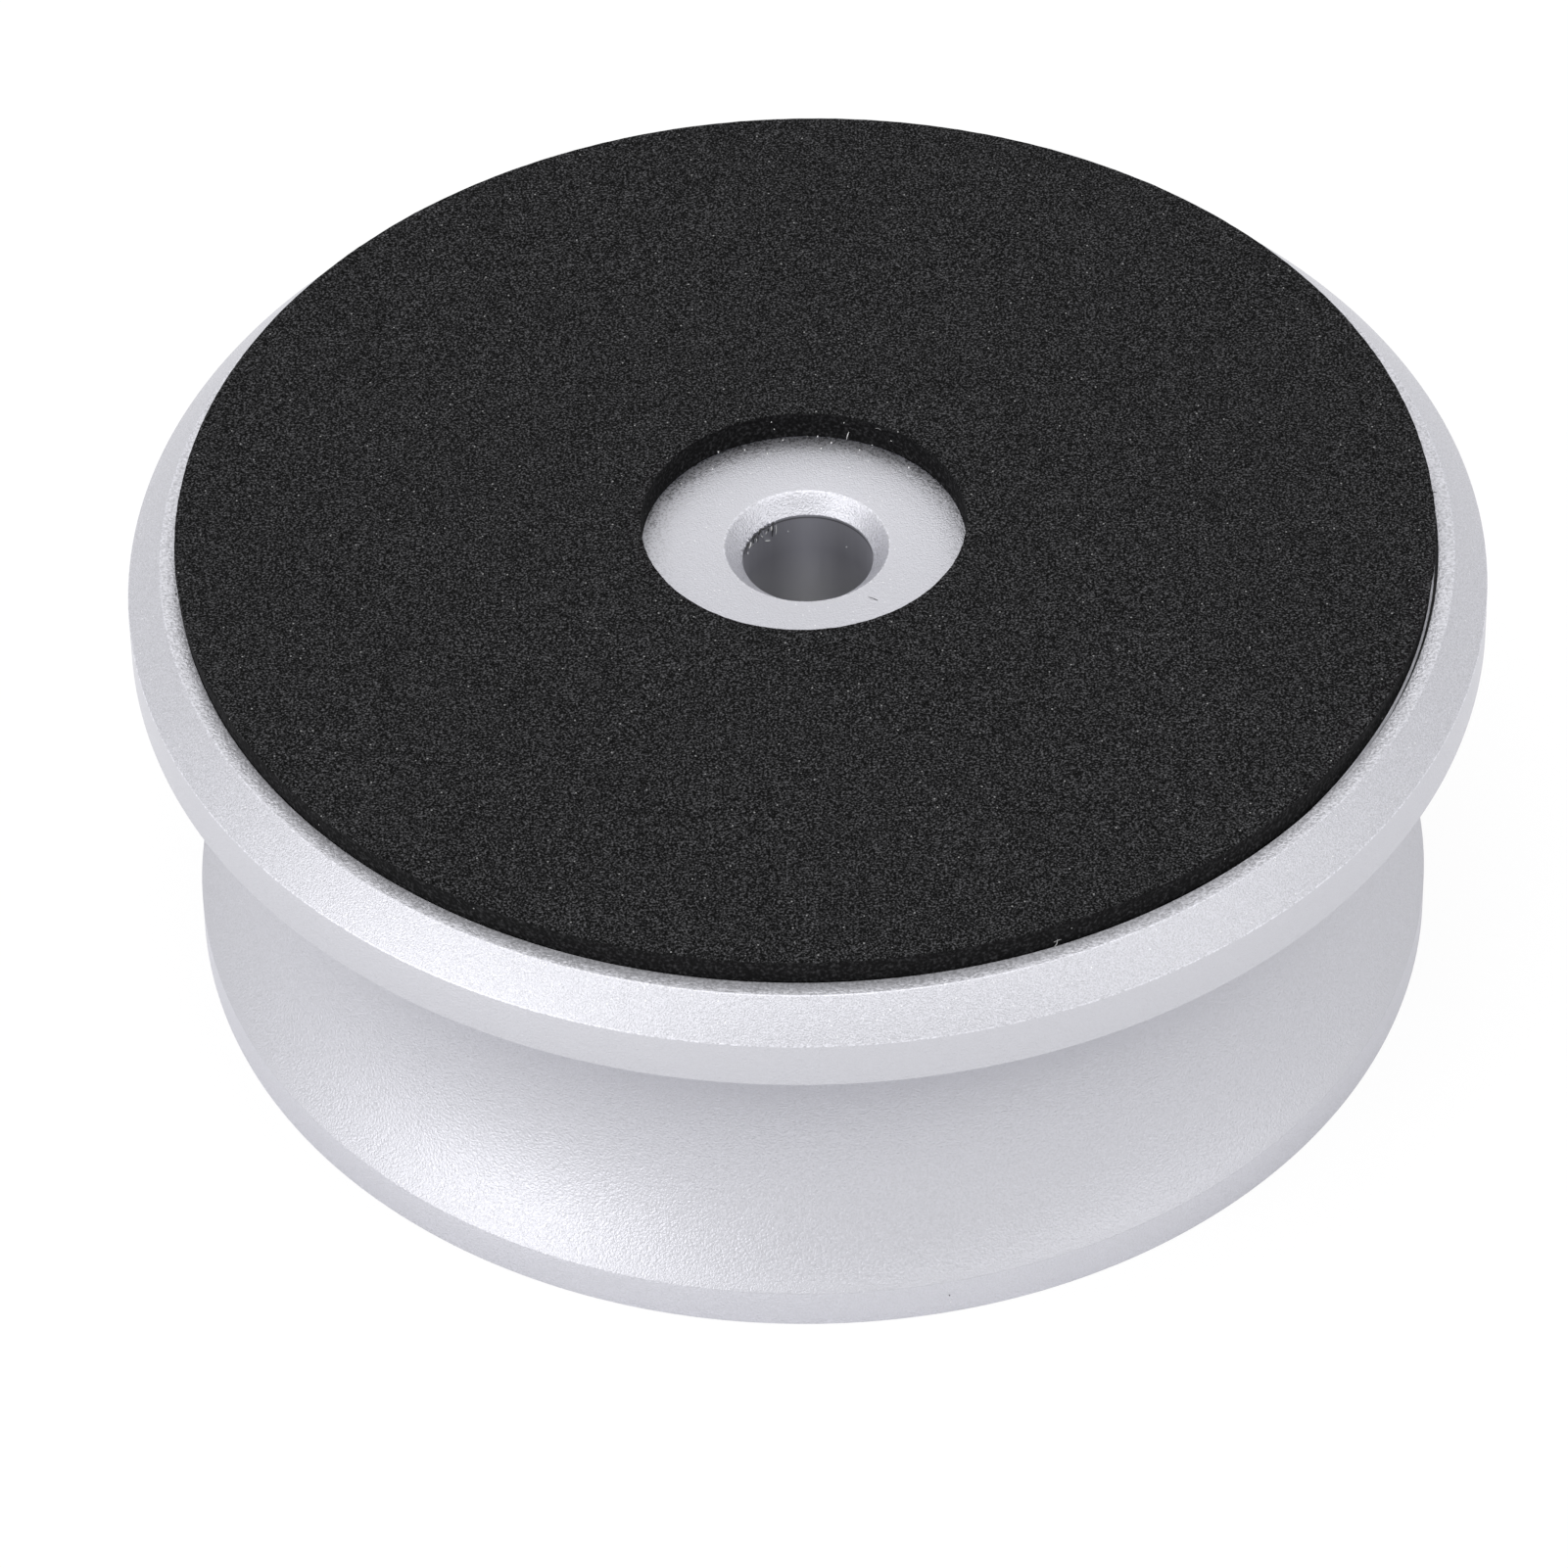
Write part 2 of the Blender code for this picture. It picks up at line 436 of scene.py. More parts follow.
@dataclass(frozen=True)
class BlastedAluminium:
    """Bead-blasted, clear-anodised aluminium: satin, a little cool, with fine painted glints.

    Each piece of it also gets a speckled painted shade on the disc at the hole's edge, mostly
    at the back, and a painted shade in the corner at the pocket's wall, where it reaches them.
    A gain of the grey beside the pad, around one bearing, is painted light.
    """

    name: str = "blasted_aluminium"
    grey: float = 0.55
    tint: tuple[float, float, float] = (0.98, 0.98, 1.045)
    roughness: float = 0.48
    roughness_swing: float = 0.06
    metallic: float = 1.0
    contrast: float = 0.04
    grain: float = 0.11
    bump: float = 0.045
    # Painted glints: the share of places with a bright speck in the grey
    painted_glints: float = 0.0
    glint_strength: float = 0.45
    glint_grey_metal: float = 0.95
    # Painted light: a gain of the grey beside the pad, around one bearing
    painted_light_gain: float = 1.0
    painted_light_bearing: float = 50.0
    painted_light_span: tuple[float, float] = (26.6, 35.6)
    painted_light_outside: float = 0.15
    # Painted shade in the corner at the pocket's wall
    pocket_shade: float = 0.93
    pocket_shade_grey: float = 0.02
    hole_shade_grain: float = 0.15
    hole_shade_range: tuple[float, float] = (0.515, 0.60)
    hole_shade_span: tuple[float, float] = (-2.0, 4.5)
    hole_shade_share: tuple[float, float] = (0.35, 0.92)
    hole_shade_grey: float = 0.05

    def grained(self, wires: Wiring, fine: Any, gain: float) -> Any:
        """Returns the grained grey, brighter by a gain."""
        deep = shade(self.grey * gain * (1 - self.contrast), self.tint)
        pale = shade(self.grey * gain * (1 + self.contrast), self.tint)
        return wires.blend(fine, deep, pale)

    def painted_light_beside_pad(self, wires: Wiring, groups: Groups, fine: Any, colour: Any) -> Any:
        """Paints light on the metal beside the pad, around one bearing, as a brighter grey.

        Args:
            wires: The material's wiring.
            groups: The shared groups.
            fine: The grain, from 0 to 1.
            colour: The colour so far.

        Returns:
            The new colour.
        """
        side = {0: object_place(wires), 1: around(1.0, self.painted_light_bearing, 0.0)}
        along = wires.add("VectorMath", side, operation="DOT_PRODUCT").outputs["Value"]
        start, end = self.painted_light_span
        share = wires.spread(along, start * MM, end * MM, 0.0, 1.0)
        near = wires.mask(groups.band, **PAINTED_LIGHT_RING)
        near = wires.spread(near, 0.0, 1.0, self.painted_light_outside, 1.0)
        share = wires.math("MULTIPLY", share, near)
        return wires.blend(share, colour, self.grained(wires, fine, self.painted_light_gain))

    def hole_edge_shade(self, wires: Wiring, groups: Groups, colour: Any) -> Any:
        """Adds a speckled painted shade on the disc at the hole's edge, mostly at the back.

        Args:
            wires: The material's wiring.
            groups: The shared groups.
            colour: The colour so far.

        Returns:
            The new colour.
        """
        speckle = wires.group(groups.grain, Size=self.hole_shade_grain).outputs["Fine"]
        spots = wires.spread(speckle, *self.hole_shade_range, 0.0, 1.0)
        share = wires.math("MULTIPLY", wires.mask(groups.band, **HOLE_EDGE), spots)
        back = wires.add("SeparateXYZ", {0: object_place(wires)}).outputs[1]
        start, end = self.hole_shade_span
        back = wires.spread(back, start * MM, end * MM, *self.hole_shade_share)
        share = wires.math("MULTIPLY", share, back)
        return wires.blend(share, colour, shade(self.hole_shade_grey))

    def build(self, groups: Groups) -> bpy.types.Material:
        """Makes the material.

        Args:
            groups: The shared groups.

        Returns:
            The material.
        """
        material, wires, shader = new_material(self.name)
        grain = wires.group(groups.grain, Size=self.grain).outputs["Fine"]
        fine = wires.spread(grain, *NOISE_RANGE, 0.0, 1.0)
        colour = self.grained(wires, fine, 1.0)
        # Painted light on the metal beside the pad
        if self.painted_light_gain > 1.0:
            colour = self.painted_light_beside_pad(wires, groups, fine, colour)
        # Painted shade, speckled, on the disc at the hole's edge
        colour = self.hole_edge_shade(wires, groups, colour)
        # Painted glints: bright specks blended into the grey
        glint_spots = wires.mask(groups.specks, Spacing=0.35, Share=self.painted_glints, Radius=0.13)
        glint = wires.math("MULTIPLY", glint_spots, self.glint_strength)
        colour = wires.blend(glint, colour, shade(self.glint_grey_metal))
        # Painted shade: near black in the corner at the pocket's wall, by the pad's foot
        pocket_shaded = wires.math("MULTIPLY", wires.mask(groups.band, **POCKET_WALL), self.pocket_shade)
        wires.feed(wires.blend(pocket_shaded, colour, shade(self.pocket_shade_grey)), shader, "Base Color")
        low, high = self.roughness - self.roughness_swing, self.roughness + self.roughness_swing
        wires.feed(wires.spread(grain, *NOISE_RANGE, low, high), shader, "Roughness")
        wires.bump(shader, grain, self.bump)
        shader.inputs["Metallic"].default_value = self.metallic
        return material


@dataclass(frozen=True)
class BoredAluminium:
    """The drilled wall of the bore: smoother, with faint tool rings and a dark line just under
    its edge.

    A pale, dull streak runs down its front and back as a painted reflection, and painted light
    makes it paler further down.
    """

    name: str = "bored_aluminium"
    grey: float = 0.54
    tint: tuple[float, float, float] = (0.975, 0.975, 1.05)
    contrast: float = 0.02
    roughness: float = 0.55
    grain: float = 0.12
    grain_share: float = 0.3
    streak_share: float = 0.7
    streak_width: float = 0.25
    streak_length: float = 6.0
    # Painted reflection: the pale streak down the front and back
    reflection_span: tuple[float, float] = (0.2, 1.9)
    reflection_share: float = 0.8
    reflection_gain: float = 1.4
    reflection_dulling: float = 0.35
    # Painted light: paler further down
    painted_light_deep_gain: float = 1.7
    lip_share: float = 0.7
    lip_grey: float = 0.08
    ring_scale: float = 312.5
    ring_unevenness: float = 1.2
    bump: float = 0.0012

    def mottled(self, wires: Wiring, groups: Groups) -> Any:
        """Makes the wall's grained and streaked grey.

        Args:
            wires: The material's wiring.
            groups: The shared groups.

        Returns:
            The colour.
        """
        squeeze = {
            "Vector": object_place(wires),
            "Scale": (1.0, 1.0, self.streak_width / self.streak_length),
        }
        squeezed = wires.add("Mapping", squeeze).outputs[0]
        scale = 1 / (self.streak_width * MM)
        streaks = wires.add("TexNoise", {"Vector": squeezed, "Scale": scale, "Detail": 2.0})
        grain = wires.group(groups.grain, Size=self.grain).outputs["Fine"]
        share = wires.math(
            "MULTIPLY_ADD",
            wires.spread(streaks.outputs[0], *NOISE_RANGE, 0.0, 1.0),
            self.streak_share,
            wires.spread(grain, *NOISE_RANGE, 0.0, self.grain_share),
        )
        deep = shade(self.grey * (1 - self.contrast), self.tint)
        return wires.blend(share, deep, shade(self.grey * (1 + self.contrast), self.tint))

    def build(self, groups: Groups) -> bpy.types.Material:
        """Makes the material.

        Args:
            groups: The shared groups.

        Returns:
            The material.
        """
        material, wires, shader = new_material(self.name)
        colour = self.mottled(wires, groups)
        # Painted reflection: a pale streak down the front and back of the wall
        across = wires.add("SeparateXYZ", {0: object_place(wires)}).outputs[0]
        start, end = self.reflection_span
        beside = wires.math("ABSOLUTE", across)
        middle = wires.spread(beside, start * MM, end * MM, self.reflection_share, 0.0)
        colour = wires.blend(middle, colour, shade(self.grey * self.reflection_gain, self.tint))
        # Painted light: the wall paler further down
        depths = wires.mask(groups.band, **BORE_DEPTHS)
        colour = wires.blend(depths, colour, shade(self.grey * self.painted_light_deep_gain))
        # A dark line just under the bore's edge
        lip_line = wires.math("MULTIPLY", wires.mask(groups.band, **BORE_LIP), self.lip_share)
        wires.feed(wires.blend(lip_line, colour, shade(self.lip_grey)), shader, "Base Color")
        # Less metallic in the streak, as part of the painted reflection
        dull = wires.math("MULTIPLY", middle, wires.mask(groups.band, **BORE_UPPER))
        metallic = wires.math("MULTIPLY_ADD", dull, -self.reflection_dulling, 1.0)
        wires.feed(metallic, shader, "Metallic")
        shader.inputs["Roughness"].default_value = self.roughness
        tool = {
            "Vector": object_place(wires),
            "Scale": self.ring_scale,
            "Distortion": self.ring_unevenness,
            "Detail": 2.0,
            "Detail Scale": 1.5,
        }
        rings = wires.add("TexWave", tool, wave_type="BANDS", bands_direction="Z")
        wires.bump(shader, rings.outputs[1], self.bump)
        return material


@dataclass(frozen=True)
class ClosedCellFoam:
    """Black closed-cell foam: matt, with fine pores and a few bright cells as painted glints.
    """

    name: str = "closed_cell_foam"
    deep: float = 0.0016
    ridge: float = 0.087
    tint: tuple[float, float, float] = (1.0, 1.0, 1.05)
    grain: float = 0.12
    pore_range: tuple[float, float] = (0.32, 0.72)
    pore_power: float = 2.6
    mottle: float = 1.6
    mottle_contrast: float = 0.05
    glint_share: float = 0.45
    glint_grey: float = 0.24
    bump: float = 0.03
    coarse_share: float = 0.6

    def build(self, groups: Groups) -> bpy.types.Material:
        """Makes the material.

        Args:
            groups: The shared groups.

        Returns:
            The material.
        """
        material, wires, shader = new_material(self.name)
        patches = wires.group(groups.grain, Size=self.mottle).outputs["Fine"]
        ridge = wires.blend(
            wires.spread(patches, *NOISE_RANGE, 0.0, 1.0),
            shade(self.ridge * (1 - self.mottle_contrast), self.tint),
            shade(self.ridge * (1 + self.mottle_contrast), self.tint),
        )
        grain = wires.group(groups.grain, Size=self.grain).outputs
        tops = wires.spread(grain["Fine"], *self.pore_range, 0.0, 1.0)
        tops = wires.math("POWER", tops, self.pore_power)
        colour = wires.blend(tops, shade(self.deep, self.tint), ridge)
        # Painted glints: a few bright specks in the foam's colour
        glints = wires.mask(groups.specks, Spacing=0.65, Share=self.glint_share, Radius=0.08)
        wires.feed(wires.blend(glints, colour, shade(self.glint_grey)), shader, "Base Color")
        height = wires.math("MULTIPLY_ADD", grain["Coarse"], self.coarse_share, grain["Fine"])
        wires.bump(shader, height, self.bump)
        shader.inputs["Roughness"].default_value = 0.85
        shader.inputs["Specular IOR Level"].default_value = 0.05
        return material


@dataclass(frozen=True)
class AdhesiveTape:
    """Double-sided film: a pale grey, slightly glossy edge and top."""

    name: str = "adhesive_tape"
    grey: float = 0.85
    tint: tuple[float, float, float] = (0.98, 0.98, 1.06)
    clouds: float = 0.3
    cloud_range: tuple[float, float] = (0.35, 0.65)
    cloud_gains: tuple[float, float] = (0.85, 1.1)
    roughness: float = 0.4

    def build(self, groups: Groups) -> bpy.types.Material:
        """Makes the material.

        Args:
            groups: The shared groups.

        Returns:
            The material.
        """
        material, wires, shader = new_material(self.name)
        clouds = wires.group(groups.grain, Size=self.clouds).outputs["Coarse"]
        share = wires.spread(clouds, *self.cloud_range, 0.0, 1.0)
        deep, pale = (shade(self.grey * gain, self.tint) for gain in self.cloud_gains)
        wires.feed(wires.blend(share, deep, pale), shader, "Base Color")
        shader.inputs["Roughness"].default_value = self.roughness
        return material


@dataclass(frozen=True)
class Lint:
    """A stray fibre, a grain of dust or a chip of the burr."""

    name: str
    grey: float
    grain: float = 0.08
    gains: tuple[float, float] = (0.8, 1.15)
    roughness: float = 0.7

    def build(self, groups: Groups) -> bpy.types.Material:
        """Makes the material.

        Args:
            groups: The shared groups.

        Returns:
            The material.
        """
        material, wires, shader = new_material(self.name)
        fine = wires.group(groups.grain, Size=self.grain).outputs["Fine"]
        deep, pale = (shade(min(1.0, self.grey * gain)) for gain in self.gains)
        wires.feed(wires.blend(fine, deep, pale), shader, "Base Color")
        shader.inputs["Roughness"].default_value = self.roughness
        return material


BODY_FINISHES: dict[Zone, BlastedAluminium | BoredAluminium] = {
    Zone.BLASTED: BlastedAluminium(),
    Zone.BORE: BoredAluminium(),
    Zone.RIM: BlastedAluminium(
        "rim_aluminium",
        grey=0.58,
        roughness=0.4,
        metallic=0.45,
        contrast=0.24,
        grain=0.16,
        painted_glints=0.25,
        # Painted light: a brighter grey on the rim beside the pad at the right front
        painted_light_gain=1.4,
    ),
    Zone.SINK: BlastedAluminium("sink_aluminium", grey=0.645, contrast=0.15),
    # Painted highlight: a paler, more grained grey on the rounded edges of the face, the
    # chamfer's foot and the countersink's top
    Zone.EDGE: BlastedAluminium(
        "edge_painted_highlight", grey=0.63, contrast=0.24, grain=0.14, bump=0.02
    ),
    Zone.DISC: BlastedAluminium(
        "disc_aluminium", grey=0.575, roughness=0.46, grain=0.09, bump=0.028, painted_glints=0.25
    ),
    Zone.WAIST: BlastedAluminium("waist_aluminium", contrast=0.07, grain=0.14, bump=0.055),
    Zone.CHAMFER: BlastedAluminium(
        "chamfer_aluminium", contrast=0.17, grain=0.09, bump=0.037, painted_glints=0.35
    ),
    # Painted reflection: a paler grey on the lower band, for the white floor that it mirrors
    Zone.FOOT: BlastedAluminium("foot_painted_reflection", grey=0.61, contrast=0.06),
}
CUT_FOAM = ClosedCellFoam("cut_foam", deep=0.005, ridge=0.03, grain=0.2, glint_share=0.12)


# The weight's pieces


@dataclass
class TurnedBody:
    """The aluminium body, turned as one section: flanges, waist, rim, pocket and bore.

    The pocket, the countersink and the bore were cut a little off the axis, and a burr
    hangs on the bore's edge at the left rear. Margin is how far a zone's limits reach past
    a rounded edge.
    """

    flange_radius: float = 38.0
    lower_radius: float = 35.15
    height: float = 26.5
    chamfer_width: float = 1.9
    chamfer_drop: float = 1.95
    upper_band: float = 2.9
    lower_band: float = 2.45
    waist_depth: float = 4.5
    rim_width: float = 0.97
    pocket_shift: float = 0.05
    sink_shift: float = -0.13
    bore_shift: tuple[float, float] = (0.05, -0.03)
    pocket_depth: float = 0.35
    bore_radius: float = 3.65
    bore_depth: float = 20.0
    drill_point: float = 118.0
    sink_width: float = 0.95
    sink_depth: float = 1.05
    edge: float = 0.055
    base_edge: float = 0.12
    bore_edges: tuple[float, float, float] = (0.05, 0.04, 0.07)
    pocket_edge: float = 0.04
    margin: float = 0.09
    burr_bearings: tuple[float, float, float] = (-149.0, -101.0, 4.0)
    burr_reach: float = 1.6
    burr_push: tuple[float, float] = (0.1, 0.12)
    steps: int = 384
    waist_steps: int = 40
    edge_steps: int = 4
    wall_cuts: int = 60
    sink_cuts: int = 7

    @property
    def floor_height(self) -> float:
        """Height of the pocket's floor."""
        return self.height - self.pocket_depth

    @property
    def mouth_height(self) -> float:
        """Height of the bore's upper edge."""
        return self.floor_height - self.sink_depth

    @property
    def face_radius(self) -> float:
        """Radius of the upper face's outer edge."""
        return self.flange_radius - self.chamfer_width

    @property
    def pocket_radius(self) -> float:
        """Radius of the pocket."""
        return self.face_radius - self.rim_width

    @property
    def sink_radius(self) -> float:
        """Radius of the countersink's upper edge."""
        return self.bore_radius + self.sink_width

    def waist_circle(self) -> tuple[Vector, Vector, Vector, float]:
        """Works out the arc of the waist.

        Returns:
            Its upper end, lower end, centre and angle.
        """
        top = self.height - self.chamfer_drop - self.upper_band
        upper = Vector((self.flange_radius, 0, top))
        lower = Vector((self.lower_radius, 0, self.lower_band))
        half = (upper - lower).length / 2
        radius = (half**2 + self.waist_depth**2) / (2 * self.waist_depth)
        along = (lower - upper).normalized()
        outward = Vector((-along.z, 0, along.x))
        centre = (upper + lower) / 2 + outward * (radius - self.waist_depth)
        return upper, lower, centre, 2 * math.asin(half / radius)

    def section(self, shape: bmesh.types.BMesh) -> None:
        """Draws the section from the drill point to the middle of the base.

        Args:
            shape: The empty mesh that gets it.
        """
        floor = self.floor_height
        bottom = floor - self.bore_depth
        tip = bottom - self.bore_radius / math.tan(math.radians(self.drill_point / 2))
        foot = self.height - self.chamfer_drop
        upper, lower, centre, turn = self.waist_circle()
        places = [
            ((0, tip), 0),
            ((self.bore_radius, bottom), self.bore_edges[0]),
            ((self.bore_radius, self.mouth_height), self.bore_edges[1]),
            ((self.sink_radius, floor), self.bore_edges[2]),
            ((self.pocket_radius, floor), 0),
            ((self.pocket_radius, self.height), self.pocket_edge),
            ((self.face_radius, self.height), self.edge),
            ((self.flange_radius, foot), self.edge),
            ((upper.x, upper.z), self.edge),
        ]
        chain = [(shape.verts.new((x, 0, z)), cut) for (x, z), cut in places]
        for (first, _), (second, _) in zip(chain, chain[1:]):
            shape.edges.new((first, second))
        arc = bmesh.ops.spin(
            shape,
            geom=[chain[-1][0]],
            cent=centre,
            axis=(0, 1, 0),
            dvec=(0, 0, 0),
            angle=-turn,
            steps=self.waist_steps,
        )
        end = next(v for v in arc["geom_last"] if isinstance(v, bmesh.types.BMVert))
        corner = shape.verts.new((self.lower_radius, 0, 0))
        middle = shape.verts.new((0, 0, 0))
        shape.edges.new((end, corner))
        shape.edges.new((corner, middle))
        chain += [(end, self.edge), (corner, self.base_edge)]
        for vert, cut in chain:
            if cut:
                round_corners(shape, [vert], cut, self.edge_steps)

    def cut_finely(self, shape: bmesh.types.BMesh) -> None:
        """Divides the section's long runs at the bore's mouth, for the burr there.

        Args:
            shape: The mesh that holds the section.
        """
        wall = [
            e
            for e in shape.edges
            if all(abs(v.co.x - self.bore_radius) < self.margin for v in e.verts)
            and e.calc_length() > self.bore_depth / 2
        ]
        bmesh.ops.subdivide_edges(shape, edges=wall, cuts=self.wall_cuts)
        low, high = self.mouth_height - self.margin, self.floor_height + self.margin
        sink = [
            e
            for e in shape.edges
            if e.calc_length() > self.sink_depth / 2
            and all(low < v.co.z < high for v in e.verts)
            and all(v.co.x < self.sink_radius + self.margin for v in e.verts)
        ]
        bmesh.ops.subdivide_edges(shape, edges=sink, cuts=self.sink_cuts)

    def set_off_centre(self, shape: bmesh.types.BMesh) -> None:
        """Moves the pocket, the countersink and the bore off the axis, as they were cut.

        Args:
            shape: The turned body.
        """
        low = self.floor_height - self.margin
        for vert in shape.verts:
            radius = math.hypot(vert.co.x, vert.co.y)
            if abs(radius - self.pocket_radius) < self.margin and vert.co.z > low:
                vert.co.x += self.pocket_shift
            elif abs(radius - self.bore_radius) < self.sink_width + 0.3 and vert.co.z > 1:
                share = ramp(vert.co.z, self.mouth_height, self.floor_height)
                vert.co.x += self.bore_shift[0] * (1 - share)
                vert.co.y += self.bore_shift[1] * (1 - share) + self.sink_shift * share

    def burr(self, shape: bmesh.types.BMesh) -> None:
        """Makes the bore's edge ragged where the burr hangs.

        Args:
            shape: The turned body.
        """
        for vert in shape.verts:
            radius = math.hypot(vert.co.x, vert.co.y)
            drop = self.mouth_height - vert.co.z
            beside = abs(radius - self.bore_radius) < 0.3
            bearing = bearing_of(vert.co)
            here = window(bearing, *self.burr_bearings)
            if not (beside and here and -self.margin < drop < self.burr_reach):
                continue
            ragged = self.burr_push[0] * noise.noise(Vector((bearing * 0.5, drop * 1.5, 3.0)))
            fine = self.burr_push[1] * noise.noise(Vector((bearing * 1.6, drop * 4.0, 9.0)))
            # Deepest just under the edge, with a fainter band further down
            depth = window(drop, 0.0, 0.5, 0.1) + 0.3 * window(drop, 0.6, 1.2, 0.3)
            push = here * depth * (ragged + fine)
            vert.co += Vector((-vert.co.x, -vert.co.y, 0)) / radius * push

    def zone_at(self, place: Vector) -> Zone:
        """Tells how a part of the surface is finished, or what painted light it carries.

        Args:
            place: The middle of a face, before the bore is set off centre.

        Returns:
            The zone.
        """
        radius = math.hypot(place.x, place.y)
        mouth, floor = self.mouth_height, self.floor_height
        foot = self.height - self.chamfer_drop

        def at_corner(corner_radius: float, corner_height: float) -> bool:
            """Tells whether the place is at a rounded corner of the section."""
            off = (radius - corner_radius, place.z - corner_height)
            return max(abs(value) for value in off) < self.margin

        # Margins in millimetres, each narrower than the faces that it keeps apart
        hair, thin, thick, wide = 0.001, 0.01, 0.02, 0.3
        if radius < self.bore_radius + thin and 1 < place.z < mouth - thick:
            return Zone.BORE
        # Painted highlight on the rounded edges
        if at_corner(self.sink_radius, floor) and place.z < floor - hair:
            return Zone.EDGE
        if at_corner(self.face_radius, self.height) or at_corner(self.flange_radius, foot):
            return Zone.EDGE
        if self.pocket_radius < radius < self.face_radius and place.z > self.height - thin:
            return Zone.RIM
        if radius < self.sink_radius and mouth < place.z < floor:
            return Zone.SINK
        if radius < self.pocket_radius and place.z > mouth:
            return Zone.DISC
        if radius > self.face_radius and place.z > foot:
            return Zone.CHAMFER
        # Painted reflection on the lower band
        if place.z < self.lower_band - thick and radius > self.lower_radius - wide:
            return Zone.FOOT
        waist = (self.lower_band + wide, foot - self.upper_band - wide)
        if waist[0] < place.z < waist[1] and radius > self.sink_radius:
            return Zone.WAIST
        return Zone.BLASTED

    def build(self, materials: dict[Zone, bpy.types.Material]) -> bpy.types.Object:
        """Makes the body, with its burr.

        Args:
            materials: The material of each zone.

        Returns:
            The body, standing for the plain solid.
        """
        shape = bmesh.new()
        self.section(shape)
        self.cut_finely(shape)
        spin_section(shape, self.steps, True)
        for face in shape.faces:
            face.material_index = self.zone_at(face.calc_center_median()).value
        self.burr(shape)
        self.set_off_centre(shape)
        piece = finish_mesh(shape, "turned_body", (materials[zone] for zone in Zone))
        return settle(piece, Slot.ALUMINIUM, "weight_body")


@dataclass
class Ring:
    """A flat ring, given by its radii and the heights of its faces."""

    inner: float
    outer: float
    bottom: float
    top: float

    def draw(self, shape: bmesh.types.BMesh) -> list[bmesh.types.BMVert]:
        """Draws the ring's section.

        Args:
            shape: The empty mesh that gets it.

        Returns:
            Its corners: inner foot, outer foot, outer top and inner top.
        """
        corners = (
            (self.inner, self.bottom),
            (self.outer, self.bottom),
            (self.outer, self.top),
            (self.inner, self.top),
        )
        verts = [shape.verts.new((x, 0, z)) for x, z in corners]
        for first, second in zip(verts, verts[1:] + verts[:1]):
            shape.edges.new((first, second))
        return verts


@dataclass
class AdhesiveRing(Ring):
    """The adhesive film under the pad, which shows beside the foam at the right.

    It stands out past the foam over a span of bearings, further at the span's start.
    """

    inner: float = 9.14
    outer: float = 34.88
    bottom: float = 26.16
    top: float = 26.225
    hole_shift: float = -0.15
    proud: tuple[float, float] = (0.2, 0.11)
    proud_span: tuple[float, float] = (50.0, 92.0)
    proud_fade: float = 8.0
    raggedness: float = 0.02
    steps: int = 384

    def build(self, material: bpy.types.Material) -> bpy.types.Object:
        """Makes the ring.

        Args:
            material: Its material.

        Returns:
            The ring, standing for the plain film.
        """
        shape = bmesh.new()
        self.draw(shape)
        spin_section(shape, self.steps, False)
        for vert in shape.verts:
            out = Vector((vert.co.x, vert.co.y, 0))
            if out.length < (self.inner + self.outer) / 2:
                vert.co.x += self.hole_shift
                continue
            bearing = bearing_of(vert.co)
            along = ramp(bearing, *self.proud_span)
            reach = self.proud[0] + (self.proud[1] - self.proud[0]) * along
            reach *= window(bearing, *self.proud_span, self.proud_fade)
            ragged = self.raggedness * noise.noise(vert.co * 1.5)
            vert.co += out.normalized() * (reach + ragged)
        piece = finish_mesh(shape, "adhesive_ring", (material,))
        return settle(piece, Slot.FILM, "adhesive_film")


